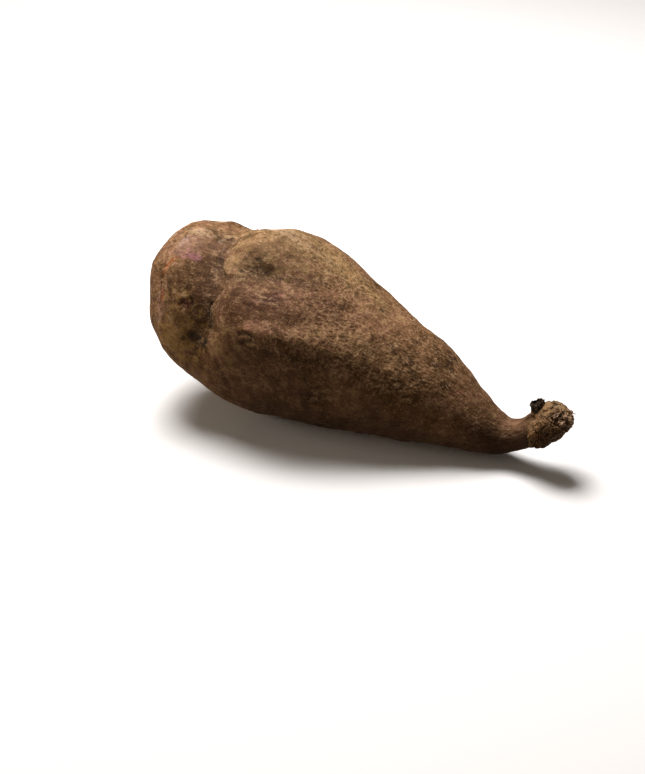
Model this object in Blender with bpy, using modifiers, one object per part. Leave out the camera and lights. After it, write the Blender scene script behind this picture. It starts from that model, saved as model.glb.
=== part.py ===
"""A whole sweet potato, lying on its side: a lumpy body that tapers to a thin neck and a knobbly crown.

Metres, +Z up. The tuber lies along X, round end at -X and crown at +X. Its near side is the one
towards -Y. The origin is at the middle of its bounding box, on the surface that it rests on.
"""

import math
from collections import namedtuple

import bpy
import numpy as np

# ---- Driving dimensions ----

BODY_HEIGHT = 0.0795
BODY_WIDTH = 0.083
ROUND_END_LENGTH = 0.058  # from the round end's tip to the thickest place
TAPER_LENGTH = 0.109  # from the thickest place to the neck
NECK_DIAMETER = 0.0150
NECK_LENGTH = 0.006
CROWN_DIAMETER = 0.0188
CROWN_LENGTH = 0.0210
CROWN_BLUNTNESS = 2.3  # exponent of the crown's superellipse: a larger one is blunter

ROUND_END_LIFT = 0.0110  # how far the axis climbs from the thickest place to the round end's tip
NECK_LIFT = 0.0015  # the neck's underside over the surface
CROWN_LIFT = 0.0135  # how far the axis climbs again from the neck to the crown
CROWN_BEND_LENGTH = 0.028  # the stretch of axis over which it does
SIDE_BOW = 0.002  # how far the axis bows towards +Y

ROUND_END_FULLNESS = 2.45  # exponent of the round end's superellipse: 2 is a plain ellipse
TAPER_START = 1.7  # a larger exponent keeps the body thick for longer before it tapers
TAPER_FLARE = 1.3  # a larger one lets the taper run out into the neck more softly

REST_SPOT_DEPTH = 0.0009  # how much of the belly's roundness is cut off flat

STUB_FOOT_DIAMETER = 0.0076  # the dry stub of the vine, on the crown
STUB_TOP_DIAMETER = 0.0060
STUB_LENGTH = 0.0110
STUB_PLACE = 0.0042  # from the end of the neck to the stub
STUB_SINK = 0.0082  # how deep the stub's foot stands in the crown
STUB_LEAN = 20.0  # degrees from upright towards the round end
STUB_EDGE = 0.0016  # how far its rims are rounded
STUB_SIDES = 16

CAGE_RINGS = 52
CAGE_SEGMENTS = 24
PROFILE_POINTS = 200
TIP_FADE = 0.006  # lumps fade out where the tuber is thinner than this, at its two tips

# ---- Lumps and furrows ----

# A lump is a soft swelling, or a hollow where its height is negative. Its middle is a share of the way
# along the round end, the taper or the crown, at an angle from the top in degrees: 90 is the near side
# and -90 the far side.
Lump = namedtuple("Lump", "share around length breadth height")

ROUND_END_LUMPS = (
    Lump(0.20, 12, 0.010, 0.012, 0.0012),  # the upper lobe
    Lump(0.27, 112, 0.011, 0.016, 0.0034),  # the lower lobe
    Lump(0.13, 88, 0.006, 0.008, -0.0014),  # the notch over it
    Lump(0.43, 40, 0.008, 0.009, 0.0018),
    Lump(0.38, -75, 0.014, 0.018, 0.0022),
    Lump(0.21, -140, 0.010, 0.012, -0.0018),
    Lump(0.64, 82, 0.0065, 0.0080, -0.0056),  # the hollow in which the near side's furrow ends
    Lump(0.86, -90, 0.010, 0.018, 0.0014),
    Lump(0.84, 46, 0.0055, 0.013, 0.0026),  # the lip over the near side's furrow
    Lump(0.95, 4, 0.011, 0.013, 0.0052),  # the shoulder behind the furrow
)
TAPER_LUMPS = (
    Lump(0.06, -28, 0.015, 0.017, 0.0022),
    Lump(0.05, 54, 0.017, 0.010, 0.0022),  # the ridge on the near side
    Lump(0.04, 29, 0.017, 0.0065, -0.0060),  # the valley over that ridge
    Lump(0.19, 73, 0.026, 0.008, 0.0048),  # the long ridge below it
    Lump(0.14, 95, 0.036, 0.013, -0.0036),  # the near side draws in below the ridges
    Lump(0.39, -12, 0.014, 0.022, -0.0030),  # the dip on top
    Lump(0.70, -10, 0.014, 0.018, 0.0040),
    Lump(0.50, 72, 0.014, 0.012, 0.0016),
    Lump(0.11, -110, 0.008, 0.018, -0.0026),  # the far side's hollow, and the swelling beside it
    Lump(0.32, -95, 0.013, 0.016, 0.0030),
    Lump(0.59, -75, 0.009, 0.012, -0.0022),
    Lump(0.75, -110, 0.009, 0.010, 0.0014),
    Lump(0.88, 60, 0.006, 0.006, 0.0010),
    Lump(0.94, -40, 0.005, 0.005, 0.0008),
)
CROWN_LUMPS = (
    Lump(0.04, 5, 0.0050, 0.0070, -0.0028),  # the nick between the neck and the vine's stub
    Lump(0.50, 75, 0.0040, 0.0045, 0.0016),
    Lump(0.29, 135, 0.0040, 0.0045, 0.0014),
    Lump(0.62, -35, 0.0040, 0.0045, 0.0014),
    Lump(0.38, -110, 0.0040, 0.0050, 0.0018),
    Lump(0.71, 30, 0.0035, 0.0040, 0.0010),
)

# A furrow runs round the body from one angle to another, and drifts along it on the way.
Furrow = namedtuple("Furrow", "share drift start stop width depth")
ROUND_END_FURROWS = (
    Furrow(0.61, 0.0020, -85, 55, 0.0085, 0.0042),  # the saddle between the lobes and the shoulder
    Furrow(0.72, 0.0020, 30, 84, 0.0042, 0.0034),  # the sharper furrow down its near side
    Furrow(0.26, -0.0030, 60, 150, 0.0040, 0.0014),
)
TAPER_FURROWS = (Furrow(0.97, 0.0010, -150, 150, 0.0030, 0.0006),)  # the neck's waist
FURROW_END = 14  # degrees over which a furrow fades in and out


def smoothstep(share):
    """0 to 1 with level ends, and held beyond them."""
    share = np.clip(share, 0, 1)
    return share * share * (3 - 2 * share)


def neck_end():
    """How far the crown begins from the round end's tip."""
    return ROUND_END_LENGTH + TAPER_LENGTH + NECK_LENGTH


def thickness_profile(body, neck, crown):
    """Places along the tuber and half its thickness there, from the round end's tip to the crown's."""
    quarter = np.linspace(0, math.pi / 2, PROFILE_POINTS)
    share = np.linspace(0, 1, PROFILE_POINTS)
    power = 2 / ROUND_END_FULLNESS
    end_along = ROUND_END_LENGTH * (1 - np.cos(quarter) ** power)
    end_half = body / 2 * np.sin(quarter) ** power

    taper_along = ROUND_END_LENGTH + TAPER_LENGTH * share
    taper_half = neck / 2 + (body - neck) / 2 * (1 - share**TAPER_START) ** TAPER_FLARE

    shoulder = CROWN_LENGTH / 2
    shoulder_along = neck_end() + shoulder * share
    shoulder_half = neck / 2 + (crown - neck) / 2 * smoothstep(share)
    power = 2 / CROWN_BLUNTNESS
    cap_along = neck_end() + shoulder + (CROWN_LENGTH - shoulder) * np.sin(quarter) ** power
    cap_half = crown / 2 * np.cos(quarter) ** power
    along = np.concatenate([end_along, taper_along, shoulder_along, cap_along])
    half = np.concatenate([end_half, taper_half, shoulder_half, cap_half])
    return along, half


def axis_height(along, half_height):
    """Height of the axis: the underside lies low from the belly to the neck, and both ends climb."""
    on_round_end = along < ROUND_END_LENGTH
    on_crown = along > neck_end()
    taper_or_crown = np.where(on_crown, NECK_DIAMETER / 2, half_height)
    underside = np.where(on_round_end, BODY_HEIGHT / 2, taper_or_crown)
    end = ROUND_END_LIFT * smoothstep(1 - along / ROUND_END_LENGTH)
    neck = (REST_SPOT_DEPTH + NECK_LIFT) * smoothstep((along - ROUND_END_LENGTH) / TAPER_LENGTH)
    crown = CROWN_LIFT * smoothstep((along - neck_end()) / CROWN_BEND_LENGTH + 0.5)
    return underside - REST_SPOT_DEPTH + end + neck + crown


def axis_side(along):
    """How far the axis stands to the side: one slow bow from tip to tip."""
    return SIDE_BOW * np.sin(math.pi * along / (neck_end() + CROWN_LENGTH))


def lump_swelling(lump, middle, along, around, half_height):
    """One lump's height: a bell over the distance along and the arc round the body."""
    turn = (around - lump.around + 180) % 360 - 180
    arc = np.radians(turn) * half_height
    return lump.height * np.exp(-(((along - middle) / lump.length) ** 2) - (arc / lump.breadth) ** 2)


def furrow_swelling(furrow, middle, along, around):
    """One furrow's depth, as a negative height: a bell across it that fades out at both ends."""
    reach = furrow.stop - furrow.start
    turn = (around - furrow.start) % 360
    turn = np.where(turn > (reach + 360) / 2, turn - 360, turn)
    ends = smoothstep(turn / FURROW_END) * smoothstep((reach - turn) / FURROW_END)
    across = along - middle - furrow.drift * turn / reach
    return -furrow.depth * ends * np.exp(-((across / furrow.width) ** 2))


def swelling(along, around, half_height):
    """How far the lumps and furrows move the skin outwards, at a distance along and an angle round."""
    total = np.zeros(np.broadcast(along, around).shape)
    stretches = (
        (0, ROUND_END_LENGTH, ROUND_END_LUMPS, ROUND_END_FURROWS),
        (ROUND_END_LENGTH, TAPER_LENGTH, TAPER_LUMPS, TAPER_FURROWS),
        (neck_end(), CROWN_LENGTH, CROWN_LUMPS, ()),
    )
    for start, length, lumps, furrows in stretches:
        for lump in lumps:
            total += lump_swelling(lump, start + lump.share * length, along, around, half_height)
        for furrow in furrows:
            total += furrow_swelling(furrow, start + furrow.share * length, along, around)
    return total * np.minimum(1, half_height / TIP_FADE)


def skin(share, around):
    """Points on the skin: share is 0 to 1 from tip to tip by the profile's run, around is in degrees."""
    along, half_height = thickness_profile(BODY_HEIGHT, NECK_DIAMETER, CROWN_DIAMETER)
    half_width = thickness_profile(BODY_WIDTH, NECK_DIAMETER, CROWN_DIAMETER)[1]
    run = np.concatenate([[0], np.cumsum(np.hypot(np.diff(along), np.diff(half_height)))])
    at = share * run[-1]
    half_height, half_width = np.interp(at, run, half_height), np.interp(at, run, half_width)
    along = np.interp(at, run, along)
    out = swelling(along, around, half_height)
    angle = np.radians(around)
    y = axis_side(along) - (half_width + out) * np.sin(angle)
    z = axis_height(along, half_height) + (half_height + out) * np.cos(angle)
    return np.stack([along, y, z], axis=-1)


# ---- Build ----

def new_collection(name):
    """A collection of its own in the scene."""
    made = bpy.data.collections.new(name)
    bpy.context.scene.collection.children.link(made)
    return made


def adopt(thing, name, home, parent):
    """Name an object, and put it in its collection and under its parent."""
    thing.name = thing.data.name = name
    for old in list(thing.users_collection):
        old.objects.unlink(thing)
    home.objects.link(thing)
    thing.parent = parent
    return thing


def skin_material():
    """Corky brown skin, dull and rough."""
    material = bpy.data.materials.new("sweet_potato_skin")
    material.use_nodes = True
    shader = material.node_tree.nodes["Principled BSDF"]
    shader.inputs["Base Color"].default_value = (0.235, 0.145, 0.080, 1)
    shader.inputs["Roughness"].default_value = 0.75
    shader.inputs["Metallic"].default_value = 0
    return material


def add_tuber():
    """The tuber's cage: a sphere whose poles become the two tips and whose rings are laid on the skin."""
    bpy.ops.mesh.primitive_uv_sphere_add(segments=CAGE_SEGMENTS, ring_count=CAGE_RINGS, radius=1)
    tuber = bpy.context.object
    mesh = tuber.data
    ball = np.empty(len(mesh.vertices) * 3)
    mesh.vertices.foreach_get("co", ball)
    x, y, z = ball.reshape(-1, 3).T
    share = 1 - np.arccos(np.clip(z, -1, 1)) / math.pi
    around = np.degrees(np.arctan2(-y, -x))
    mesh.vertices.foreach_set("co", skin(share, around).ravel())
    mesh.shade_smooth()
    smooth = tuber.modifiers.new("skin", "SUBSURF")
    smooth.levels = smooth.render_levels = 1
    return tuber


def add_stub():
    """The vine's stub: a short cone with rounded rims, its foot sunk in the crown."""
    share = np.linspace(0, 1, PROFILE_POINTS)
    top = skin(share, np.zeros_like(share))
    place = neck_end() + STUB_PLACE
    height = np.interp(place, top[:, 0], top[:, 2])
    bpy.ops.mesh.primitive_cone_add(
        vertices=STUB_SIDES,
        radius1=STUB_FOOT_DIAMETER / 2,
        radius2=STUB_TOP_DIAMETER / 2,
        depth=STUB_LENGTH,
    )
    stub = bpy.context.object
    lean = math.radians(STUB_LEAN)
    rise = STUB_LENGTH / 2 - STUB_SINK
    stub.location = (place - rise * math.sin(lean), axis_side(place), height + rise * math.cos(lean))
    stub.rotation_euler = (0, -lean, 0)
    rims = stub.modifiers.new("rims", "BEVEL")
    rims.width = STUB_EDGE
    rims.segments = 2
    return stub


def add_surface():
    """A block longer than the tuber, with its top at height 0: it presses the rest spot flat."""
    length = neck_end() + CROWN_LENGTH
    bpy.ops.mesh.primitive_cube_add(size=2 * length, location=(length / 2, 0, -length))
    return bpy.context.object


def shape_with(thing, operation, tool):
    """Join or cut a thing with a tool, which then stays as a wire guide."""
    boolean = thing.modifiers.new(tool.name, "BOOLEAN")
    boolean.operation = operation
    boolean.solver = "EXACT"
    boolean.object = tool
    tool.hide_render = True
    tool.display_type = "WIRE"


def centre(thing, carrier):
    """Move the carrier so that the finished thing stands over the origin."""
    bpy.context.view_layer.update()
    finished = thing.evaluated_get(bpy.context.evaluated_depsgraph_get())
    mesh = finished.to_mesh()
    points = np.empty(len(mesh.vertices) * 3)
    mesh.vertices.foreach_get("co", points)
    points = points.reshape(-1, 3)
    finished.to_mesh_clear()
    middle = (points.min(axis=0) + points.max(axis=0)) / 2
    carrier.location = (-middle[0], -middle[1], 0)


def build():
    """Empty the scene, then make the tuber."""
    for old in list(bpy.data.objects):
        bpy.data.objects.remove(old, do_unlink=True)
    parts = new_collection("sweet_potato")
    tools = new_collection("cutters")
    carrier = bpy.data.objects.new("tuber_frame", None)
    parts.objects.link(carrier)

    tuber = adopt(add_tuber(), "sweet_potato", parts, carrier)
    tuber.data.materials.append(skin_material())
    stub = adopt(add_stub(), "vine_stub", tools, carrier)
    surface = adopt(add_surface(), "surface", tools, carrier)
    shape_with(tuber, "UNION", stub)
    shape_with(tuber, "DIFFERENCE", surface)
    centre(tuber, carrier)
    bpy.context.view_layer.update()


build()
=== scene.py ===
"""A whole sweet potato lying on a pale floor, in soft studio light.

The tuber's shape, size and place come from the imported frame. This script makes its cork skin, its crown, the
vine's stub and the fine rootlets on that shape. Places on the tuber are given by the distance along it from
the round end's tip, in millimetres, and by the angle round it from the top in degrees: 90 is the near side
(-Y) and -90 the far side.
"""

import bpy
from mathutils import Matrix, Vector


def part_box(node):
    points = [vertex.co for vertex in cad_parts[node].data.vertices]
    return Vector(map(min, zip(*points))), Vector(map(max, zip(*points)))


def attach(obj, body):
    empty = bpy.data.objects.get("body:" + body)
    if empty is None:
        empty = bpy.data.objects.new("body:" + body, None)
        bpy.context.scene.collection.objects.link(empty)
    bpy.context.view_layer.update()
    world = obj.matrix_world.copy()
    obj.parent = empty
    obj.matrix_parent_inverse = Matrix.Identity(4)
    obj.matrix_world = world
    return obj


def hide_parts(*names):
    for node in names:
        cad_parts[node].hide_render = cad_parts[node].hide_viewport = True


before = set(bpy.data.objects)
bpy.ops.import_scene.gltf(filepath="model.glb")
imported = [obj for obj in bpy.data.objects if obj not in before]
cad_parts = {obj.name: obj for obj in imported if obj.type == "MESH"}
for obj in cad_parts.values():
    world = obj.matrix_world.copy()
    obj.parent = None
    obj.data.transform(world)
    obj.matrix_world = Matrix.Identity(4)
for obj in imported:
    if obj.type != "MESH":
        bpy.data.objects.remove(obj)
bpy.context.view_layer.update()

import math

import bpy
import bmesh
import numpy as np
from mathutils import Vector


# ---- Camera, floor and light ----
# The tuber lies on a sweep of matt white card. One large softbox hangs over its round end, a weaker one
# stands at the left, and the room adds a little light all round.

scene = bpy.context.scene
low, high = (np.array(corner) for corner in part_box("sweet_potato"))


def linear(hex_colour):
    """An sRGB hex colour as linear red, green, blue and alpha: a line at the low end, then a power curve."""
    channels = np.array([int(hex_colour[i:i + 2], 16) for i in (1, 3, 5)]) / 255
    low_end = channels / 12.92
    curve = ((channels + 0.055) / 1.055) ** 2.4
    return (*np.where(channels <= 0.04045, low_end, curve), 1.0)


def put(tree, kind, inputs=None, **settings):
    """Add a node: settings are its own values, and inputs its sockets' values or links, by name or number."""
    node = tree.nodes.new(kind)
    for name, value in settings.items():
        setattr(node, name, value)
    for key, value in (inputs or {}).items():
        if isinstance(value, bpy.types.NodeSocket):
            tree.links.new(value, node.inputs[key])
        else:
            node.inputs[key].default_value = value
    return node


def empty_material(name):
    """A new material with a bare node tree, and that tree."""
    material = bpy.data.materials.new(name)
    material.use_nodes = True
    material.node_tree.nodes.clear()
    return material, material.node_tree


def look_along(thing, place, target):
    """Stand a camera or a light at a place, with its -Z axis to the target."""
    towards = Vector(target) - Vector(place)
    thing.location = place
    thing.rotation_euler = towards.to_track_quat("-Z", "Y").to_euler()


VIEW_AZIMUTH = math.radians(27)
VIEW_ELEVATION = math.radians(28)
VIEW_DISTANCE = 0.8
VIEW_TARGET = np.array([low[0] + 0.0785, -0.0019, 0.0140])
back = np.array([
    math.sin(VIEW_AZIMUTH) * math.cos(VIEW_ELEVATION),
    -math.cos(VIEW_AZIMUTH) * math.cos(VIEW_ELEVATION),
    math.sin(VIEW_ELEVATION),
])
camera_data = bpy.data.cameras.new("camera")
camera_data.lens = 85
camera_data.sensor_width = 36
camera_data.clip_start = 0.01
camera = bpy.data.objects.new("camera", camera_data)
scene.collection.objects.link(camera)
look_along(camera, VIEW_TARGET + back * VIEW_DISTANCE, VIEW_TARGET)
scene.camera = camera


LIT_POINT = (0, 0, 0.03)


def softbox(name, place, size, power, colour):
    """A square area light that faces the tuber's middle."""
    data = bpy.data.lights.new(name, "AREA")
    data.size = size
    data.energy = power
    data.color = linear(colour)[:3]
    light = bpy.data.objects.new(name, data)
    scene.collection.objects.link(light)
    look_along(light, place, LIT_POINT)


softbox("overhead_softbox", (-0.29, 0.20, 0.82), size=0.50, power=13.6, colour="#FDFAFA")
softbox("side_softbox", (-0.95, -0.50, 0.24), size=0.60, power=4.0, colour="#FFF0DC")

world = bpy.data.worlds.new("studio")
world.use_nodes = True
world.node_tree.nodes["Background"].inputs["Color"].default_value = linear("#F7E9DA")
world.node_tree.nodes["Background"].inputs["Strength"].default_value = 0.10
scene.world = world
scene.view_settings.view_transform = "Standard"

# Matt card: nearly white, with hardly any sheen, so that it shows only soft shadows.
card, tree = empty_material("matt_white_card")
shader = put(tree, "ShaderNodeBsdfPrincipled", {"Base Color": linear("#F1F0EE"), "Roughness": 0.9})
put(tree, "ShaderNodeOutputMaterial", {"Surface": shader.outputs["BSDF"]})

FLOOR_HALF = 2.5
corners = [(-1, -1), (1, -1), (1, 1), (-1, 1)]
floor_mesh = bpy.data.meshes.new("floor")
floor_mesh.from_pydata([(x * FLOOR_HALF, y * FLOOR_HALF, 0) for x, y in corners], [], [(0, 1, 2, 3)])
floor_mesh.materials.append(card)
floor = bpy.data.objects.new("floor", floor_mesh)
scene.collection.objects.link(floor)
floor.visible_diffuse = False  # the card sends no light up, so the tuber's underside stays dark


# ---- The tuber's skin ----
# Thin cork over dense flesh, grown as one piece from the round end to the neck. It is drawn out over the
# swelling root, so it is lumpy, furrowed and netted with fine ridges, with eyes where rootlets once left it.

MM = 0.001


def merged_copy(name):
    """A copy of a frame node with its loose triangles joined and smoothed, to wrap a finer surface onto."""
    copy = bpy.data.objects.new(name + "_guide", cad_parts[name].data.copy())
    scene.collection.objects.link(copy)
    shape = bmesh.new()
    shape.from_mesh(copy.data)
    bmesh.ops.remove_doubles(shape, verts=shape.verts, dist=1e-6)
    shape.to_mesh(copy.data)
    shape.free()
    smooth = copy.modifiers.new("smooth", "SUBSURF")
    smooth.levels = smooth.render_levels = 2
    return copy


def mesh_points(thing):
    """The points of a thing's evaluated mesh, as rows of x, y, z."""
    bpy.context.view_layer.update()
    evaluated = thing.evaluated_get(bpy.context.evaluated_depsgraph_get())
    mesh = evaluated.to_mesh()
    points = np.empty(len(mesh.vertices) * 3, np.float32)
    mesh.vertices.foreach_get("co", points)
    evaluated.to_mesh_clear()
    return points.reshape(-1, 3).astype(float)


def grid_faces(rows, columns, closed_ends):
    """Quads between each pair of rows, running round; closed ends add a fan to a pole point at either end."""
    i, j = np.meshgrid(np.arange(rows - 1), np.arange(columns), indexing="ij")
    k = (j + 1) % columns
    quads = np.stack([i * columns + j, i * columns + k, (i + 1) * columns + k, (i + 1) * columns + j], -1)
    quads = quads.reshape(-1, 4)
    if not closed_ends:
        return quads, None
    around = np.arange(columns)
    following = (around + 1) % columns
    first, last = rows * columns, rows * columns + 1
    top = (rows - 1) * columns
    start_fan = np.stack([following, around, np.full(columns, first)], -1)
    end_fan = np.stack([top + around, top + following, np.full(columns, last)], -1)
    return quads, np.concatenate([start_fan, end_fan])


def grid_object(name, grid, poles=None):
    """A mesh object from a grid of points, rows by columns, each row closed round, with its two poles."""
    rows, columns = grid.shape[:2]
    quads, fans = grid_faces(rows, columns, poles is not None)
    points = grid.reshape(-1, 3)
    faces = quads.tolist()
    if poles is not None:
        points = np.concatenate([points, poles])
        faces += fans.tolist()
    mesh = bpy.data.meshes.new(name)
    mesh.from_pydata(points.tolist(), [], faces)
    mesh.shade_smooth()
    thing = bpy.data.objects.new(name, mesh)
    scene.collection.objects.link(thing)
    return thing


# The crown's lower outer corner is pressed flatter: points past a slanted plane are drawn back towards it.
CORNER_WAY = np.array([0.77, -0.20, -0.61])
CORNER_DEPTH = 0.0036
CORNER_PRESS = 0.8
guide = merged_copy("sweet_potato")
guide_corners = np.array([vertex.co for vertex in guide.data.vertices])
past = guide_corners @ CORNER_WAY
past = np.maximum(past - past.max() + CORNER_DEPTH, 0)
pressed = guide_corners - CORNER_PRESS * past[:, None] * CORNER_WAY
guide.data.vertices.foreach_set("co", pressed.ravel())
guide_points = mesh_points(guide)

# The tuber is cut in slices, closer towards its ends, and each slice's middle and half width are measured.
# Near the end the vine's stub stands on top, so the middle there is taken half a width above the bottom.
SLICES = 72
SLICE_REACH = 0.0008
STUB_ZONE = 0.028
total_length = (high[0] - low[0]) / MM
turn = np.linspace(0, math.pi, SLICES + 1)
slice_x = low[0] + (high[0] - low[0]) * (1 - np.cos(turn)) / 2
slice_low, slice_high = np.empty((SLICES + 1, 2)), np.empty((SLICES + 1, 2))
for index, x in enumerate(slice_x):
    nearness = np.abs(guide_points[:, 0] - x)
    ring = guide_points[nearness < max(SLICE_REACH, nearness.min() * 1.5)]
    slice_low[index] = ring[:, 1:].min(axis=0)
    slice_high[index] = ring[:, 1:].max(axis=0)
slice_half = (slice_high[:, 0] - slice_low[:, 0]) / 2
slice_half[[0, -1]] = 0
slice_y = (slice_high[:, 0] + slice_low[:, 0]) / 2
half_height = (slice_high[:, 1] - slice_low[:, 1]) / 2
slice_z = slice_low[:, 1] + np.where(slice_x > high[0] - STUB_ZONE, slice_half, half_height)
slice_z[[0, -1]] = (slice_low[[0, -1], 1] + slice_high[[0, -1], 1]) / 2
slice_run = np.concatenate([[0], np.cumsum(np.hypot(np.diff(slice_x), np.diff(slice_half)))])

CORE_SHARE = 0.5  # the core's half width as a share of the tuber's
CORE_INSET = 0.009  # how far the core's first row stands in from the round end's tip
CORE_SHORTER = CORE_INSET * 1.4  # how much shorter the core is than the tuber


def wrapped(name, runs, angles):
    """The frame's surface as a grid: a slim core inside the tuber is blown out onto it along its own normals.

    Each row stands at a run, which is the distance in metres from the round end's tip along the outline seen
    from above. Each column stands at an angle from the top, in degrees.
    """
    x = np.interp(runs, slice_run, slice_x)
    half = np.interp(runs, slice_run, slice_half) * CORE_SHARE
    shrink = (high[0] - low[0] - CORE_SHORTER) / (high[0] - low[0])
    core_x = low[0] + CORE_INSET + (x - low[0]) * shrink
    y, z = np.interp(core_x, slice_x, slice_y), np.interp(core_x, slice_x, slice_z)
    turn = np.radians(angles)[None]
    side = y[:, None] - half[:, None] * np.sin(turn)
    rise = z[:, None] + half[:, None] * np.cos(turn)
    grid = np.stack([np.broadcast_to(core_x[:, None], side.shape), side, rise], -1)
    core = grid_object(name, grid)
    wrap = core.modifiers.new("wrap", "SHRINKWRAP")
    wrap.target = guide
    wrap.wrap_method = "PROJECT"
    wrap.use_positive_direction = True
    wrap.use_negative_direction = False
    points = mesh_points(core).reshape(grid.shape)
    bpy.data.objects.remove(core, do_unlink=True)
    return points


def hashed(cells, salt):
    """A repeatable number from 0 to 1 for each whole-number cell: its indices are multiplied and mixed."""
    i, j, k = (cells[..., axis].astype(np.int64).astype(np.uint32) for axis in range(3))
    mixed = i * np.uint32(0x8DA6B343) ^ j * np.uint32(0xD8163841) ^ k * np.uint32(0xCB1AB31F)
    mixed ^= np.uint32((salt * 0x9E3779B1) & 0xFFFFFFFF)
    for shift, factor in ((15, 0x2C1B3C6D), (12, 0x297A2D39), (15, 0x9E3779B1)):
        mixed ^= mixed >> np.uint32(shift)
        mixed *= np.uint32(factor)
    mixed ^= mixed >> np.uint32(16)
    return mixed / 2.0**32


def noise(points, size, salt):
    """Smooth noise, mostly from -1 to 1: slopes drawn at the corners of a lattice, blended between them."""
    scaled = points / size
    cell = np.floor(scaled)
    inside = scaled - cell
    blend = inside**3 * (inside * (inside * 6 - 15) + 10)
    total = np.zeros(points.shape[:-1])
    for corner in np.ndindex(2, 2, 2):
        at = cell + corner
        slope = np.stack([hashed(at, salt * 3 + axis) for axis in range(3)], -1) * 2 - 1
        weight = np.prod(np.where(corner, blend, 1 - blend), axis=-1)
        total += weight * (slope * (inside - corner)).sum(-1)
    return total * 1.6


def fractal(points, size, salt, layers=4, fade=0.5):
    """Layers of noise, each half the size of the one before and weaker by the fade."""
    return sum(noise(points, size / 2**n, salt + 17 * n) * fade**n for n in range(layers))


def scales(points, size, salt):
    """Irregular cells: how far each point is from its cell's edge, from 0 there to about 0.5 in its middle.

    Each lattice cell holds one scattered seed, and the distances to the nearest two are compared.
    """
    scaled = points / size
    cell = np.floor(scaled)
    nearest = np.full(points.shape[:-1], 9.0)
    second = nearest.copy()
    for offset in np.ndindex(3, 3, 3):
        at = cell + offset - 1
        seed = at + np.stack([hashed(at, salt * 5 + axis) for axis in range(3)], -1)
        distance = np.linalg.norm(scaled - seed, axis=-1)
        closer = distance < nearest
        second = np.where(closer, nearest, np.minimum(second, distance))
        nearest = np.where(closer, distance, nearest)
    return second - nearest


def smoothstep(value, start=0.0, stop=1.0):
    """0 before start, 1 after stop, and an S-curve between them."""
    share = np.clip((value - start) / (stop - start), 0, 1)
    return share * share * (3 - 2 * share)


def outward(grid):
    """Unit normals of a grid of points: the cross product of its two directions, each row closed round."""
    along = np.gradient(grid, axis=0)
    round_it = np.roll(grid, -1, 1) - np.roll(grid, 1, 1)
    normal = np.cross(round_it, along)
    return normal / np.maximum(np.linalg.norm(normal, axis=-1, keepdims=True), 1e-12)


def relaxed(grid, rounds):
    """The grid with each point drawn halfway to the mean of its four neighbours, a number of times."""
    for _ in range(rounds):
        sides = np.roll(grid, 1, 1) + np.roll(grid, -1, 1)
        ends = np.concatenate([grid[:1], grid[:-1]]) + np.concatenate([grid[1:], grid[-1:]])
        grid = grid * 0.5 + (sides + ends) * 0.125
    return grid


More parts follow.
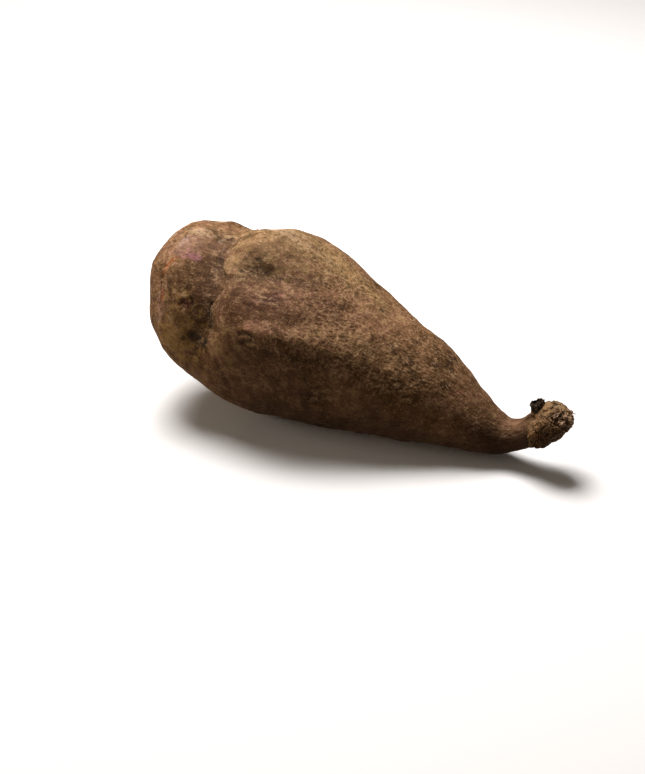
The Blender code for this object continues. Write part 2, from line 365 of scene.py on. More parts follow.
class Skin:
    """A grid, with its features' running height and stain. Points and distances are in millimetres."""

    def __init__(self, grid, angles):
        self.base = grid / MM
        self.normal = outward(grid)
        self.along = self.base[..., 0] - low[0] / MM
        self.around = np.broadcast_to((angles + 180) % 360 - 180, self.along.shape)
        self.height = np.zeros(self.along.shape)
        self.stain = np.zeros(self.along.shape + (3,))
        self.stain_amount = np.zeros(self.along.shape)

    def place(self, along, around):
        """The grid's row and column at a distance along and an angle round."""
        column = np.abs((self.around[0] - around + 180) % 360 - 180).argmin()
        return np.abs(self.along[:, column] - along).argmin(), column

    def axes(self, along, around, heading):
        """A point on the surface, and the ways along, across and out: a heading turns from +X towards up."""
        row, column = self.place(along, around)
        normal = self.normal[row, column]
        forward = np.array([math.cos(heading), 0, math.sin(heading)])
        forward -= normal * (forward @ normal)
        forward /= np.linalg.norm(forward)
        return self.base[row, column], forward, np.cross(normal, forward), normal

    def oval(self, along, around, length, width, heading=0.0):
        """How far every point is from an oval's middle, in half lengths and half widths: 1 is on its rim."""
        centre, forward, across, normal = self.axes(along, around, math.radians(heading))
        away = self.base - centre
        reach = np.hypot(away @ forward / length, away @ across / width) * 2
        return np.hypot(reach, away @ normal / max(length, width))

    def line(self, route, steps=40):
        """Every point's distance from a line through places on the surface, its share along and its side."""
        route = np.array(route, float)
        knots = np.linspace(0, 1, len(route))
        shares = np.linspace(0, 1, steps)
        middle = [np.interp(shares, knots, route[:, axis]) for axis in range(2)]
        ease = np.ones(5) / 5
        middle = [np.convolve(np.pad(values, 2, mode="edge"), ease, mode="valid") for values in middle]
        track = np.array([self.base[self.place(*spot)] for spot in zip(*middle)])
        track = relaxed(np.repeat(track[:, None], 2, 1), 3)[:, 0]
        heading = np.gradient(track, axis=0)
        distance = np.full(self.along.shape, 1e3)
        share, side = np.zeros_like(distance), np.ones_like(distance)
        for point, towards, at in zip(track, heading, shares):
            away = self.base - point
            length = np.linalg.norm(away, axis=-1)
            closer = length < distance
            distance = np.where(closer, length, distance)
            share = np.where(closer, at, share)
            left = (np.cross(towards, away) * self.normal).sum(-1)
            side = np.where(closer, np.sign(left), side)
        return distance, share, side

    def colour(self, hex_colour, amount):
        """Stain the skin: the new colour covers the old by an amount from 0 to 1."""
        amount = np.clip(amount, 0, 1)
        fresh = np.array(linear(hex_colour)[:3])
        total = self.stain_amount + amount - self.stain_amount * amount
        share = np.where(total > 1e-6, amount / np.maximum(total, 1e-6), 0)[..., None]
        self.stain = self.stain * (1 - share) + fresh * share
        self.stain_amount = total

    def crease(self, route, width, depth, lip=0.5, hex_colour="#3A2618", amount=0.7):
        """A groove with a lip on its left: bell curves across it, fading towards its ends as a sine does."""
        distance, share, side = self.line(route)
        ends = np.sin(np.pi * np.clip(share, 0.02, 0.98)) ** 0.6
        groove = np.exp(-((distance / width) ** 2))
        lip_at = np.exp(-(((distance - 2.2 * width) / (1.4 * width)) ** 2)) * (side > 0)
        self.height += depth * ends * (lip * lip_at - groove)
        self.colour(hex_colour, amount * ends * np.exp(-((distance / (1.1 * width)) ** 2)))

    def fold(self, route, width, depth, hex_colour="#1E130A", amount=0.8):
        """A fold whose left hangs over its right: a bell-curved lip, a step down and an exponential rise. Its
        colour is painted shade, laid on the low side under the lip.
        """
        distance, share, side = self.line(route, 60)
        ends = np.sin(np.pi * np.clip(share, 0.02, 0.98)) ** 0.6
        under = np.exp(-distance / width) * (side < 0)
        lip = np.exp(-((distance / (0.8 * width)) ** 2)) * (side > 0)
        self.height += depth * ends * (0.35 * lip - under)
        self.colour(hex_colour, amount * ends * under)

    def swell(self, route, width, height):
        """A ridge, or a valley if its height is negative: a bell curve across, and a sine's arch along."""
        distance, share, _ = self.line(route)
        self.height += height * np.sin(np.pi * share) ** 0.7 * np.exp(-((distance / width) ** 2))

    def eye(self, along, around, length, width, depth, heading=0.0, rim="#9C7A58", pit="#2E1C14"):
        """An eye: an uneven oval pit with a raised rim, dark inside and paler round it."""
        reach = self.oval(along, around, length, width, heading)
        reach = np.maximum(reach + 0.30 * fractal(self.base, 1.6, 70, 2), 0)
        self.height += depth * (0.45 * np.exp(-(((reach - 1.25) / 0.4) ** 2)) - np.exp(-(reach**3)))
        self.colour(rim, 0.40 * np.exp(-(((reach - 1.35) / 0.35) ** 2)))
        self.colour(pit, 0.80 * np.exp(-(reach**3)))

    def torn_bud(self, along, around, size, height, pith, heading=0.0):
        """A bud torn off: a dark ring-shaped pit round a raised, pale, uneven middle."""
        reach = self.oval(along, around, size, size * 0.75, heading)
        reach = np.maximum(reach + 0.35 * fractal(self.base, 1.3, 71, 2), 0)
        self.height += height * (np.exp(-((reach / 0.5) ** 2)) - np.exp(-(((reach - 0.9) / 0.28) ** 2)))
        self.colour("#120A06", 0.85 * np.exp(-(((reach - 0.9) / 0.30) ** 2)))
        self.colour(pith, 0.9 * np.exp(-((reach / 0.55) ** 4)))

    def patch(self, along, around, length, width, hex_colour, amount, heading=0.0, rag=0.5, salt=90):
        """A stain with a ragged edge: an oval whose rim is pushed in and out by noise."""
        reach = self.oval(along, around, length, width, heading)
        reach = reach + rag * fractal(self.base, 2.6, salt, 4, 0.7)
        self.colour(hex_colour, amount * smoothstep(reach, 1.25, 0.35))

    def finished(self):
        """The grid in metres, moved out by its height and kept on or over the surface that it rests on."""
        grid = (self.base + self.normal * self.height[..., None]) * MM
        grid[..., 2] = np.maximum(grid[..., 2], 0)
        return grid


# Columns crowd round the upper near side. Rows are closer on the rounder half, and few lie under the crown.
ROWS, COLUMNS = 372, 266
CROWN_LENGTH = 0.0245
CROWN_OVERLAP = 0.004
CROWDING = 0.42
steps = np.linspace(0, 2 * math.pi, COLUMNS, endpoint=False)
skin_angles = np.degrees(steps - CROWDING * np.sin(steps - math.radians(30)))
run_samples = np.linspace(0, slice_run[-1], 400)
sample_x = np.interp(run_samples, slice_run, slice_x)
density = 1.3 - 0.5 * smoothstep(sample_x, low[0] + 0.100, low[0] + 0.140)
density[sample_x > high[0] - CROWN_LENGTH + CROWN_OVERLAP] = 0.3
dense_run = np.concatenate([[0], np.cumsum((density[1:] + density[:-1]) / 2)])
skin_runs = np.interp(np.linspace(0, dense_run[-1], ROWS + 2), dense_run, run_samples)
skin_grid = relaxed(wrapped("skin_core", skin_runs, skin_angles), 10)
# The coarse furrow is smoothed further, because its own folds are cut into it below.
FURROW_HALF = 8
from_furrow = Skin(skin_grid, skin_angles).line([(38, 20), (41, 45), (42, 65), (38, 85)])[0]
in_furrow = np.exp(-((from_furrow / FURROW_HALF) ** 4))[..., None]
skin_grid = skin_grid * (1 - in_furrow) + relaxed(skin_grid, 70) * in_furrow
tip_points = skin_grid[[0, -1]].mean(axis=1)
skin = Skin(skin_grid[1:-1], skin_angles)
body_fade = smoothstep(skin.along, 183, 150)

# Broad unevenness, then small lumps, then wrinkles that run along the tuber.
grain_way = skin.base * (0.45, 1, 1)
skin.height += (0.25 + 0.45 * body_fade) * fractal(skin.base, 17, 1, 2)
skin.height += (0.14 + 0.14 * body_fade) * fractal(skin.base, 7, 2, 2)
wrinkle = fractal(grain_way, 2.4, 3, 3, 0.6)
skin.height += 0.08 * wrinkle

# The net of fine ridges: strong down the flank, thin on the round end and on the shoulder.
flank = smoothstep(skin.along, 58, 88) * smoothstep(np.abs(skin.around - 20), 100, 40)
net_zone = 0.15 + 0.85 * flank * np.clip(0.8 + 0.6 * noise(skin.base, 20, 7), 0, 1)
drift = np.stack([noise(skin.base, 5, 8 + axis) for axis in range(3)], -1)
NET_CELL = 1.55
ridge = smoothstep(scales(skin.base * (0.6, 1, 1) + 0.6 * drift, NET_CELL, 4), 0.42, 0.05)
skin.height += 0.16 * net_zone * (ridge - 0.5)
net_tone = net_zone * (0.55 - 0.95 * ridge) + 0.25 * wrinkle
mottle = fractal(skin.base, 5.0, 6, 4, 0.65)
net_tone += 0.50 * mottle * (1 - 0.75 * flank)
net_tone *= 1 - 0.5 * smoothstep(skin.along, 84, 118)

# The features are cut, raised and stained in turn. A crease, a fold or a swelling follows a route of places,
# and has a width and a depth or height. An eye or a patch has a place, a length and a width, and then an eye
# has its depth, and a patch its colour, how much it covers, its heading, how ragged it is and its salt.
#
# The furrow down the near side, its hollow darkened as painted shade, and the swellings and hollows of the
# round end.
skin.crease([(34, 10), (36, 26), (38, 40), (40, 54), (40, 66), (38, 78)], 4.6, 0.5, 0.4, "#33200F", 0.55)
skin.crease([(44, 14), (41.5, 26), (41.5, 36), (45, 43)], 1.1, -0.4, 0.0, "#9A7C50", 0.35)
skin.crease([(51, 44), (47.5, 50), (46.6, 57), (46.6, 64)], 1.1, -0.4, 0.0, "#A07C5C", 0.35)
skin.swell([(8, 48), (11, 32), (13, 18), (14, 0)], 4.5, -1.9)
skin.swell([(35, -30), (41, -8), (47, 4)], 6.0, 1.3)
skin.swell([(6, 0), (7, 30), (8, 50), (9, 80)], 6.0, 1.5)
skin.swell([(20, -45), (21, -20), (21, 5)], 5.0, -0.9)
# The ridge that overhangs the near side, and the shallow valley over it.
skin.swell([(56, 74), (70, 69), (84, 65), (100, 61), (118, 54)], 4.5, 0.6)
skin.swell([(60, 60), (76, 57), (92, 52)], 5.0, -0.6)
# Soft folds between the near side's ridges, darkened in their hollows as painted shade, and pink and dark
# creases where the cork has split.
skin.crease([(46, 38), (52, 33), (60, 31), (70, 28), (80, 22)], 3.2, 0.4, 0.4, "#3A2410", 0.55)
skin.crease([(60, 52), (66, 50), (73, 47)], 0.7, 0.40, 0.8, "#C6A08A", 0.8)
skin.crease([(61, 49), (68, 46.0), (74, 44)], 0.9, 0.45, 0.8, "#38190F", 0.9)
skin.crease([(67, 45), (70, 42), (71, 39)], 0.7, 0.45, 0.8, "#C68E80", 0.85)
skin.crease([(68, 40), (72, 41), (76, 44)], 0.7, 0.40, 0.8, "#B47C6C", 0.8)
skin.crease([(57, 57), (62, 56), (67, 57)], 0.7, 0.35, 0.8, "#3A2014", 0.75)
# The next groove, under the overhanging ridge, is darkened as painted shade.
skin.crease([(56, 84), (62, 80), (70, 78), (82, 77), (96, 74), (112, 69)], 3.0, 0.5, 0.5, "#2C1B0E", 0.5)
skin.crease([(46, 94), (50, 104), (53, 118)], 1.2, 0.4, 0.6, "#3A2013", 0.5)
# Eyes: a long one low on the near side, a round one on the round end, and small ones nearer the top.
skin.eye(63.5, 77, 9.0, 4.2, 0.8, 4, "#7C5A3C", "#1E120A")
skin.patch(64.5, 77.5, 6.2, 2.6, "#AC8A60", 0.90, 4, 0.5, 30)
skin.crease([(58.5, 75), (61, 72.5), (64.5, 72), (68, 74)], 0.8, 0.5, 0.7, "#1A0F08", 0.9)
skin.patch(30.5, 64, 7.0, 5.0, "#8A682C", 0.60, 0, 0.8, 60)
skin.eye(30.4, 68, 5.2, 4.6, 0.6, 20, "#8A6A34", "#4A1216")
skin.crease([(31.6, 61), (33.4, 63.5), (34.0, 68)], 0.8, 0.5, 0.6, "#1C0E08", 0.95)
for along, around, length, width in ((54.6, 24, 2.6, 1.8), (57.0, 28, 1.8, 1.2), (50.8, 36, 3.4, 1.7)):
    skin.eye(along, around, length, width, 0.25, 0, "#8C6A48", "#2A190D")
skin.eye(106.4, 4, 2.6, 2.0, 0.4, 0, "#A98963")
skin.eye(67.5, -22, 3.0, 2.0, 0.5, 0)
# Broad grounds: painted shade under the shoulder's bump round its small eyes, painted shade in brown over the
# near side, and ochre along the top.
skin.patch(55.5, 28, 14, 10, "#33200F", 0.55, 0, 0.9, 50)
skin.patch(63.0, 30, 15, 5, "#33200F", 0.45, 0, 0.9, 51)
skin.patch(77.0, 25, 10, 4, "#33200F", 0.40, 0, 0.9, 52)
skin.patch(70, 50, 50, 26, "#563923", 0.45, 0, 0.8, 53)
skin.patch(56, 2, 40, 46, "#8E7648", 0.35, 0, 0.8, 54)
skin.patch(84, -10, 40, 26, "#A08558", 0.35, 0, 0.8, 55)
# Stains on the round end: bare pink and cream skin, rust-red scrapes, and ochre soil marks lower down.
skin.patch(21, 28, 18, 11, "#A07A68", 0.55, 30, 1.2, 32)
skin.patch(18.5, 24, 6, 8, "#BC9C92", 0.50, 0, 1.2, 62)
skin.patch(24, 10, 15, 7, "#B59C7C", 0.45, 0, 1.6, 33)
skin.patch(26.0, 36, 7.5, 4.5, "#A0666E", 0.70, 0, 1.0, 34)
skin.patch(32, 20, 12, 8, "#8E6850", 0.55, 0, 1.3, 35)
skin.crease([(20.5, 40), (17.6, 42), (15.8, 48), (15.2, 55)], 0.9, 0.3, 0.6, "#A4561E", 0.85)
skin.crease([(15.0, 55), (15.2, 60), (16.2, 66)], 0.8, 0.4, 0.8, "#4A1E12", 0.9)
skin.patch(16.6, 76, 4.0, 14, "#B0887A", 0.60, 0, 1.3, 45)
skin.crease([(16.6, 65), (17.6, 70), (17.4, 76)], 0.9, 0.3, 0.6, "#A2502C", 0.8)
skin.patch(29.0, 60, 3.0, 2.2, "#A8842F", 0.7, 0, 0.8, 46)
skin.patch(28, 50, 13, 15, "#4A3018", 0.30, 0, 1.2, 47)
skin.patch(25, 93, 22, 24, "#BC9454", 0.60, 0, 1.2, 36)
skin.patch(27, 80, 14, 12, "#947048", 0.50, 0, 1.0, 64)
# Brown and tan patches along the body, a pale pink painted highlight on the near side's overhanging ridge and
# tan painted highlights along the top, then dark red in the round end's eye and in the split creases.
skin.patch(66, 50, 24, 13, "#6C4430", 0.60, 0, 1.2, 37)
skin.patch(92, 36, 34, 17, "#8E644A", 0.40, 0, 1.3, 38)
skin.patch(52, 58, 18, 13, "#644229", 0.50, 0, 1.2, 48)
# Painted highlight along the crest of the overhanging ridge.
skin.patch(68, 66, 16, 4, "#B07E66", 0.55, 8, 1.2, 39)
# Painted highlights along the top, where the overhead light falls.
skin.patch(86, -12, 24, 12, "#B08757", 0.45, 0, 1.2, 40)
skin.patch(101, -8, 12, 8, "#B3905F", 0.50, 0, 1.2, 41)
skin.patch(58, -6, 22, 9, "#BE9C7A", 0.55, 0, 1.6, 42)
skin.patch(108, 48, 44, 12, "#A8825A", 0.45, 0, 1.2, 65)
skin.patch(30.4, 68, 6.4, 5.2, "#42100F", 0.95, 20, 0.35, 61)
skin.patch(68.0, 46.5, 5.0, 2.6, "#3A140E", 0.85, 0, 0.5, 66)
skin.patch(71.5, 48.5, 4.4, 1.8, "#3A140E", 0.80, 0, 0.5, 67)
# The sharp fold where the shoulder's lip hangs over the furrow, with a dark line in its crevice, and the fold
# between the round end's lobes. Their dark sides under the lips, the line and the dark hollow at the sharp
# fold's lower end are painted shade.
skin.fold([(47.5, 47), (45.0, 55), (41.3, 62), (42.0, 69), (43.2, 75), (42.4, 79)], 2.2, 1.3, "#1A0F07", 0.95)
skin.crease([(43.2, 57), (41.9, 62), (42.6, 69), (43.6, 75), (43.0, 79)], 1.1, 0.8, 0.0, "#120904", 0.98)
skin.fold([(37.5, 4), (37.5, 19), (39.5, 31), (43.5, 40), (49, 41), (55, 38)], 3.4, 1.0, "#2C1A0C", 0.85)
skin.patch(36.5, 85, 13, 9, "#1E130A", 0.88, 0, 0.5, 31)
# Painted shade darkens the parts that face down and, as a painted shadow, the neck; a broader, fainter painted
# shade lies over the near side and the round end.
faced_down = -skin.normal[..., 2] + 0.2 * noise(skin.base, 14, 49) - 0.10 * smoothstep(skin.along, 80, 110)
below = smoothstep(faced_down, -0.10, 0.55)
below *= smoothstep(skin.along, 34, 62)
neck_damp = smoothstep(skin.along, 138, 164) * (0.42 + 0.43 * smoothstep(skin.normal[..., 2], 0.95, 0.2))
broad_painted_shade = 0.20 * smoothstep(skin.oval(60, 36, 64, 44), 1.25, 0.6)
broad_painted_shade += 0.18 * smoothstep(skin.oval(14, 34, 24, 26), 1.25, 0.6)
damp = np.maximum(0.64 * below, neck_damp)
damp = damp + broad_painted_shade * (1 - damp)
# Under the crown the skin draws in, so that the two don't meet face to face.
DRAWN_IN = 1.3
skin.height -= DRAWN_IN * smoothstep(total_length - skin.along, 19, 14)

skin_object = grid_object("skin", skin.finished(), tip_points)


def vertex_values(thing, name, values, poles, kind="FLOAT"):
    """Store one value, or one colour, for each point of a grid object and for its two poles."""
    attribute = thing.data.attributes.new(name, kind, "POINT")
    if kind == "FLOAT_COLOR":
        flat = np.concatenate([values.reshape(-1, 3), poles])
        flat = np.concatenate([flat, np.ones((len(flat), 1))], 1)
        attribute.data.foreach_set("color", flat.ravel().astype(np.float32))
    else:
        flat = np.concatenate([values.ravel(), poles])
        attribute.data.foreach_set("value", flat.astype(np.float32))


def carry_marks(thing, marks, **layers):
    """Store a skin's stain and its amount on the mesh, and each further layer under its own name."""
    vertex_values(thing, "stain", marks.stain, marks.stain[[0, -1]].mean(axis=1), "FLOAT_COLOR")
    layers["stain_amount"] = marks.stain_amount
    for name, values in layers.items():
        vertex_values(thing, name, values, values[[0, -1]].mean(axis=1))


carry_marks(skin_object, skin, tone=net_tone, damp=damp)


def per_metre(millimetres):
    """A noise texture's scale for features of a size: how many of them fit in a metre."""
    return 1000 / millimetres


def cork(name, shades, pit_colour, ridge_colour, grain, roughness):
    """Tuber cork: blotches of several browns, darker in pits and paler on ridges, with stains over it.

    The blotches are two sizes of noise added up, and the flecks are finer noise drawn out by the grain. The
    tone attribute says where the mesh has its pits and ridges, and the last attribute where painted shade
    darkens the colour.
    Noise sizes are in millimetres. Cork's real grain is finer, and is drawn as coarse as it needs to show.
    """
    material, tree = empty_material(name)
    place = put(tree, "ShaderNodeTexCoord").outputs["Object"]
    drawn_out = put(tree, "ShaderNodeMapping", {"Vector": place, "Scale": grain}).outputs["Vector"]
    broad, middle, fine, grit = (
        put(tree, "ShaderNodeTexNoise", {
            "Vector": vector, "Scale": per_metre(size), "Detail": detail, "Roughness": rough,
        }).outputs["Fac"]
        for vector, size, detail, rough in (
            (place, 26, 4, 0.6), (place, 6, 5, 0.62), (drawn_out, 1.9, 4, 0.7), (place, 0.8, 2, 0.6),
        )
    )
    blotch = put(tree, "ShaderNodeMath", {0: broad, 1: middle}, operation="ADD").outputs["Value"]
    spread = put(tree, "ShaderNodeMapRange", {"Value": blotch, "From Min": 0.76, "From Max": 1.24})
    ramp = put(tree, "ShaderNodeValToRGB", {"Fac": spread.outputs["Result"]})
    ramp.color_ramp.elements[0].color = linear(shades[0])
    ramp.color_ramp.elements[1].color = linear(shades[-1])
    for index, hex_colour in enumerate(shades[1:-1], 1):
        ramp.color_ramp.elements.new(index / (len(shades) - 1)).color = linear(hex_colour)

    tone = put(tree, "ShaderNodeAttribute", attribute_name="tone").outputs["Fac"]
    flecks = put(tree, "ShaderNodeMath", {0: grit, 1: 0.7, 2: fine}, operation="MULTIPLY_ADD")
    fleck_tone = put(tree, "ShaderNodeMapRange", {
        "Value": flecks.outputs["Value"], "From Min": 0.62, "From Max": 1.08, "To Min": -0.75, "To Max": 0.75,
    }).outputs["Result"]
    depth = put(tree, "ShaderNodeMath", {0: tone, 1: fleck_tone}, operation="ADD").outputs["Value"]
    darken, lighten = (
        put(tree, "ShaderNodeMapRange", {
            "Value": depth, "From Min": 0.05 * way, "From Max": 0.9 * way, "To Max": most,
        }).outputs["Result"]
        for way, most in ((1, 0.60), (-1, 0.70))
    )
    stain = put(tree, "ShaderNodeAttribute", attribute_name="stain").outputs["Color"]
    stain_amount = put(tree, "ShaderNodeAttribute", attribute_name="stain_amount").outputs["Fac"]
    colour = ramp.outputs["Color"]
    for amount, layer in (
        (stain_amount, stain),
        (darken, linear(pit_colour)),
        (lighten, linear(ridge_colour)),
    ):
        colour = put(tree, "ShaderNodeMix", {0: amount, 6: colour, 7: layer}, data_type="RGBA").outputs[2]
    # Painted shade: the last attribute draws the colour towards a dark brown.
    damp = put(tree, "ShaderNodeAttribute", attribute_name="damp").outputs["Fac"]
    damp_soil = linear("#2E190C")
    colour = put(tree, "ShaderNodeMix", {0: damp, 6: colour, 7: damp_soil}, data_type="RGBA").outputs[2]

    relief = put(tree, "ShaderNodeMath", {0: depth, 1: -1.0}, operation="MULTIPLY").outputs["Value"]
    bump = put(tree, "ShaderNodeBump", {"Height": relief, "Strength": 0.6, "Distance": 0.22 * MM})
    shader = put(tree, "ShaderNodeBsdfPrincipled", {
        "Base Color": colour, "Roughness": roughness, "Specular IOR Level": 0.15,
        "Normal": bump.outputs["Normal"],
    })
    put(tree, "ShaderNodeOutputMaterial", {"Surface": shader.outputs["BSDF"]})
    return material


# Cork skin of a tuber, washed and dried: dull brown with a faint sheen, paler on the ridges.
skin_cork = cork(
    "tuber_cork_skin", ("#4B321A", "#654627", "#7A5736", "#855D42", "#9C7A50"),
    "#2A180B", "#BF9A74", (0.65, 1, 1), 0.78,
)
skin_object.data.materials.append(skin_cork)
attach(skin_object, "root")
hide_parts("sweet_potato")


# ---- The crown ----
# The knob at the end of the neck, from which the vine grew: thick, folded bark over the same flesh. It grew
# out of the neck's skin and overlaps it with a ragged edge, and old buds have torn out of its end.

CROWN_ROWS, CROWN_COLUMNS = 230, 250
crown_angles = np.linspace(0, 360, CROWN_COLUMNS, endpoint=False)
SKEWED_ROWS = 14  # an open end skews its first rows, so these are cut off
crown_start = np.interp(high[0] - CROWN_LENGTH, slice_x, slice_run)
crown_runs = np.linspace(crown_start, slice_run[-1], CROWN_ROWS + SKEWED_ROWS + 1)
crown_grid = relaxed(wrapped("crown_core", crown_runs, crown_angles), 3)
# The vine's stub is left out: no point reaches much further from its row's middle than most of them do.
FURTHEST = 1.10
middle = np.median(crown_grid, axis=1, keepdims=True)
spoke = crown_grid - middle
reach = np.linalg.norm(spoke, axis=-1, keepdims=True)
limit = FURTHEST * np.median(reach, axis=1, keepdims=True)
crown_grid = relaxed(middle + spoke * np.minimum(1, limit / np.maximum(reach, 1e-9)), 6)[SKEWED_ROWS:]
crown_tip = crown_grid[-1:].mean(axis=1)
crown = Skin(crown_grid[:-1], crown_angles)
from_end = total_length - crown.along

# It rises out of the neck, and its folds and lumps grow towards the end.
ragged = from_end + 1.5 * fractal(crown.base, 3.0, 51, 3)
crown.height += -1.2 + 1.35 * smoothstep(ragged, 20.5, 14.5)
bark_zone = smoothstep(from_end, 21, 13)
folds = 1 - np.abs(fractal(crown.base, 5.5, 52, 3, 0.55)) * 2.2
bark = fractal(crown.base, 3.4, 53, 4, 0.58)
fold_line = smoothstep(folds, 0.72, 1.0)
crown.height += bark_zone * (0.75 * fractal(crown.base, 6.0, 50, 2) + 0.40 * bark - 0.55 * fold_line)
crown.height += 0.09 * fractal(crown.base, 0.8, 54, 2)
crown_tone = bark_zone * (0.55 * fold_line - 0.45 * bark) + 0.25 * fractal(crown.base, 1.1, 55, 3)
crown.swell([(181.5, -30), (182, 0), (181.5, 30)], 3.5, 1.5)
crown.swell([(190, -40), (190.5, 0), (190, 30)], 4.0, -1.0)
# Buds torn out of its end, worn or soiled patches, and a painted highlight on the end.
for along, around, size, height, pith in (
    (190.6, 68, 4.6, 0.9, "#D4B49C"), (191.6, 34, 4.8, 1.0, "#CBA490"), (187.6, 46, 3.6, 0.6, "#C2A27E"),
    (192.6, 104, 3.4, 0.7, "#C9A58E"), (185.6, 92, 2.4, 0.4, "#A5845E"), (191.0, -60, 3.2, 0.8, "#B98E78"),
    (189.5, 132, 2.6, 0.5, "#A88468"), (187.5, -100, 2.8, 0.5, "#A88468"), (192.6, -16, 2.4, 0.6, "#B7977C"),
):
    crown.torn_bud(along, around, size, height, pith)
crown.patch(189.0, -8, 9.0, 4.0, "#C0A27A", 0.6, 0, 1.0, 56)
crown.patch(181.5, 20, 9.0, 7.0, "#9A7850", 0.55, 0, 1.0, 57)
crown.patch(182.5, 96, 6.0, 3.0, "#8A5A34", 0.5, 0, 1.0, 58)
crown.patch(192.0, 80, 9.0, 5.0, "#8E6A4C", 0.45, 0, 1.0, 59)
# Painted light on the end's near side, which faces away from the lamps.
crown.patch(193.0, 60, 12.0, 10.0, "#A8825E", 0.45, 0, 1.0, 63)
# Painted shade on the crown's underside, and on its base by the neck.
crown_below = smoothstep(-crown.normal[..., 2], -0.3, 0.6)
crown_damp = 0.45 * np.maximum(crown_below * smoothstep(from_end, 3, 9), smoothstep(from_end, 14, 21))

crown_points = crown.finished()
crown_object = grid_object("crown", crown_points, np.stack([crown_points[0].mean(axis=0), crown_tip[0]]))
carry_marks(crown_object, crown, tone=crown_tone, damp=crown_damp)
# Crown bark, thick and weathered: darker than the skin, with deep cracks and hardly any sheen.
crown_bark = cork(
    "crown_bark", ("#3A2617", "#543A22", "#6C4E30", "#7C5C3C", "#94734A"),
    "#160D07", "#A98963", (0.8, 1, 1), 0.78,
)
crown_object.data.materials.append(crown_bark)
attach(crown_object, "root")


# ---- The vine's stub ----
# What is left of the old vine: a short, dry, nearly black stump that stands on top of the crown. Its fibres
# run up its sides, and its end is broken off unevenly round a sunken pith.

STUB_LEAN = math.radians(20)
STUB_FROM_END = 16.2
STUB_FOOT_RADIUS, STUB_TOP_RADIUS = 3.6, 3.1
STUB_SUNK = 5.0
STUB_RISE = 1.4  # how far its middle stands over the guide's highest point near it
STUB_SEARCH = 4.0  # that point is looked for within this distance along the tuber
FOOT_FORWARD = 1.0  # its foot stands this much nearer the end
stub_way = np.array([-math.sin(STUB_LEAN), 0, math.cos(STUB_LEAN)])
across_way = np.array([0.0, 1.0, 0.0])
along_way = np.cross(across_way, stub_way)
near_stub = np.abs(guide_points[:, 0] - (high[0] - STUB_FROM_END * MM)) < STUB_SEARCH * MM
top_near_stub = guide_points[near_stub, 2].max() / MM
stub_row, stub_column = crown.place(total_length - STUB_FROM_END + FOOT_FORWARD, 0)
stub_foot = crown.base[stub_row, stub_column] - STUB_SUNK * stub_way
stub_height = (top_near_stub + STUB_RISE - stub_foot[2]) / math.cos(STUB_LEAN)

# Seven tenths of the rows climb the side in a straight taper. The rest close the end and sink to its pith.
SIDE = 0.7
PITH_SINK = 0.18
climb = np.linspace(0, 1, 120)
rise = np.where(climb < SIDE, climb / SIDE, 1 - PITH_SINK * smoothstep(climb, 0.78, 1.0)) * stub_height
side_radius = STUB_FOOT_RADIUS - (STUB_FOOT_RADIUS - STUB_TOP_RADIUS) * climb / SIDE
end_radius = STUB_TOP_RADIUS * np.sqrt(np.clip((1 - climb) / (1 - SIDE), 0, 1))
radius = np.where(climb < SIDE, side_radius, end_radius)
stub_turn = np.linspace(0, 2 * math.pi, 140, endpoint=False)
ring = np.cos(stub_turn)[:, None] * along_way + np.sin(stub_turn)[:, None] * across_way
stub_base = stub_foot + rise[:, None, None] * stub_way + radius[:, None, None] * ring
stub = Skin(stub_base[:-1] * MM, np.degrees(stub_turn))
fibre_way = stub.base @ np.stack([along_way, across_way, stub_way * 0.35], -1)
stub_lumps = fractal(stub.base, 4.0, 60, 2)
stub.height += 0.9 * stub_lumps + 0.45 * fractal(fibre_way, 1.8, 61, 4, 0.6)
stub_tone = 0.8 * fractal(fibre_way, 0.9, 62, 3) - 0.5 * stub_lumps
broken = smoothstep(climb[:-1], 0.5, 0.75)[:, None] * 0.8 * fractal(stub.base, 2.6, 63, 3)
stub_points = stub.finished() + broken[..., None] * stub_way * MM
stub_poles = np.stack([stub_points[0].mean(axis=0), stub_points[-1].mean(axis=0)])
stub_object = grid_object("vine_stub", stub_points, stub_poles)
carry_marks(stub_object, stub, tone=stub_tone, damp=np.zeros_like(stub_tone))
# Dead vine, dry and weathered: nearly black, with fine brown streaks up its fibres.
stub_bark = cork(
    "dry_vine_bark", ("#1E150E", "#2C2015", "#3C2D1D", "#4C3A26", "#66503A"),
    "#0B0705", "#7A6248", (1, 1, 0.3), 0.8,
)
stub_object.data.materials.append(stub_bark)
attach(stub_object, "root")


# ---- Torn fibres and rootlets ----
# Pale splinters of flesh stand round the crown's torn holes, and a few fine dry rootlets are left on the
# skin. Each grew or tore out of it, and is rooted a little way in.

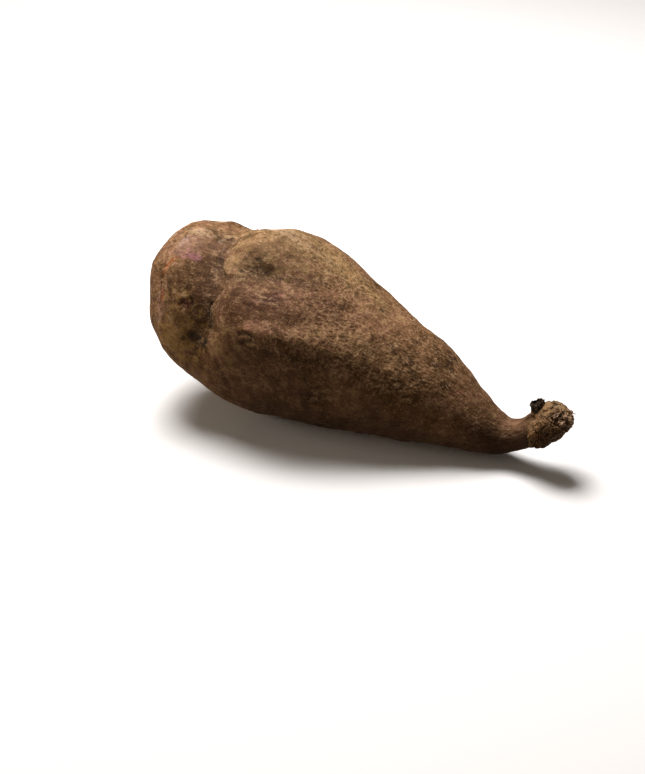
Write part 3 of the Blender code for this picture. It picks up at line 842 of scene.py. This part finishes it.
def shoots(name, start, aim, bend, length, width, flatness):
    """Many small tapered shoots, each closed at both ends, in one mesh.

    A shoot runs from its start along its aim and curls towards its bend by the square of the way along. Its
    half width falls off as the square root of what is left of it. Lengths and widths are in millimetres.
    """
    sides, rings = 6, 7
    along = np.linspace(0, 1, rings + 1)[:-1]
    scale = length[:, None, None]
    centre = start[:, None] + (aim[:, None] * along[:, None] + bend[:, None] * along[:, None] ** 2) * scale
    tangent = aim[:, None] + 2 * bend[:, None] * along[:, None]
    side = np.cross(tangent, np.array([0.31, 0.52, 0.79]))  # a slanted way, which no shoot runs along
    side /= np.linalg.norm(side, axis=-1, keepdims=True)
    up = np.cross(side, tangent)
    up /= np.linalg.norm(up, axis=-1, keepdims=True)
    turn = np.linspace(0, 2 * math.pi, sides, endpoint=False)[:, None]
    half = (width[:, None] / 2 * np.sqrt(1 - along))[..., None, None]
    ring = half * (np.cos(turn) * side[:, :, None] + flatness * np.sin(turn) * up[:, :, None])
    points = (centre[:, :, None] + ring).reshape(len(start), -1, 3)
    foot, tip = start[:, None], (start + (aim + bend) * length[:, None])[:, None]
    points = np.concatenate([points, foot, tip], axis=1)
    quads, fans = grid_faces(rings, sides, True)
    first = np.arange(len(start))[:, None, None] * points.shape[1]
    faces = (quads + first).reshape(-1, 4).tolist() + (fans + first).reshape(-1, 3).tolist()
    mesh = bpy.data.meshes.new(name)
    mesh.from_pydata((points.reshape(-1, 3) * MM).tolist(), [], faces)
    mesh.shade_smooth()
    thing = bpy.data.objects.new(name, mesh)
    scene.collection.objects.link(thing)
    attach(thing, "root")
    return thing


def scattered(surface, places, copies, rng):
    """Points on a finished surface near given places, some copies of each, with the normals there.

    The copies are strewn about a millimetre along the tuber and nine degrees round it.
    """
    spots = np.repeat(np.array(places, float), copies, axis=0)
    spots += rng.normal(0, 1, spots.shape) * (0.9, 9.0)
    cells = np.array([surface.place(*spot) for spot in spots])
    points = surface.finished() / MM
    return points[cells[:, 0], cells[:, 1]], surface.normal[cells[:, 0], cells[:, 1]]


rng = np.random.default_rng(11)
foot, normal = scattered(crown, [(190.5, 66), (192, 28), (192.6, 96), (191, -60), (188, 40)], 7, rng)
aim = normal + rng.normal(0, 0.55, normal.shape)
aim /= np.linalg.norm(aim, axis=1, keepdims=True)
splinters = shoots(
    "torn_fibres", foot - 0.5 * normal, aim, rng.normal(0, 0.35, aim.shape),
    rng.uniform(0.9, 1.9, len(foot)), rng.uniform(0.6, 1.2, len(foot)), 0.45,
)

# Flesh torn along its fibres and dried: matt, cream to brownish pink.
torn_flesh, tree = empty_material("dried_torn_flesh")
place = put(tree, "ShaderNodeTexCoord").outputs["Object"]
fibre = put(tree, "ShaderNodeTexNoise", {"Vector": place, "Scale": per_metre(1.1), "Detail": 3.0})
shade = put(tree, "ShaderNodeMapRange", {"Value": fibre.outputs["Fac"], "From Min": 0.35, "From Max": 0.65})
mixed = put(tree, "ShaderNodeMix", {
    0: shade.outputs["Result"], 6: linear("#8C6450"), 7: linear("#D9BBA2"),
}, data_type="RGBA")
shader = put(tree, "ShaderNodeBsdfPrincipled", {"Base Color": mixed.outputs[2], "Roughness": 0.6})
put(tree, "ShaderNodeOutputMaterial", {"Surface": shader.outputs["BSDF"]})
splinters.data.materials.append(torn_flesh)

foot, normal = scattered(skin, [
    (120.7, 8), (124, 2), (118, 20), (128, 14), (84, -30),
    (67, -20), (40, -15), (60, 96), (100, 60), (140, 40),
], 3, rng)
aim = normal * 0.5 + rng.normal(0, 0.6, normal.shape)
aim /= np.linalg.norm(aim, axis=1, keepdims=True)
rootlets = shoots(
    "rootlets", foot - 0.3 * normal, aim, rng.normal(0, 0.45, aim.shape) - 0.4 * normal,
    rng.uniform(1.5, 3.6, len(foot)), rng.uniform(0.3, 0.55, len(foot)), 0.8,
)
# A dried rootlet: straw brown and dull.
dry_root, tree = empty_material("dry_rootlet")
shader = put(tree, "ShaderNodeBsdfPrincipled", {"Base Color": linear("#9A7A56"), "Roughness": 0.7})
put(tree, "ShaderNodeOutputMaterial", {"Surface": shader.outputs["BSDF"]})
rootlets.data.materials.append(dry_root)


# ---- End ----
# The guide is taken away.

bpy.data.objects.remove(guide, do_unlink=True)
